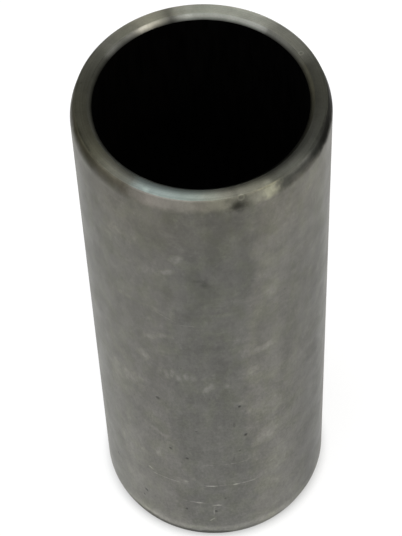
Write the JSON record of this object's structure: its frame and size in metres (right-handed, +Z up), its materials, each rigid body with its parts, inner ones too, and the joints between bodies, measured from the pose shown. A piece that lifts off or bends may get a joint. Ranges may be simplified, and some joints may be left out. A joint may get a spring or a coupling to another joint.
{
  "type": "piston pin",
  "caption": "Hollow ground steel pin with a through bore and a lead-in at each end, joining a piston to its connecting rod.",
  "frame": {"origin": "centre of the lower end face, where the pin's axis meets the surface it stands on", "axes": "+Z up along the pin's axis; X and Y are free, because the pin is round"},
  "size_m": [0.022, 0.022, 0.056],
  "materials": {
    "ground_steel": "ground and satin, with handling marks; turned end faces; dark bore"
  },
  "bodies": {
    "root": {"piston_pin": "ground_steel"}
  },
  "joints": []
}
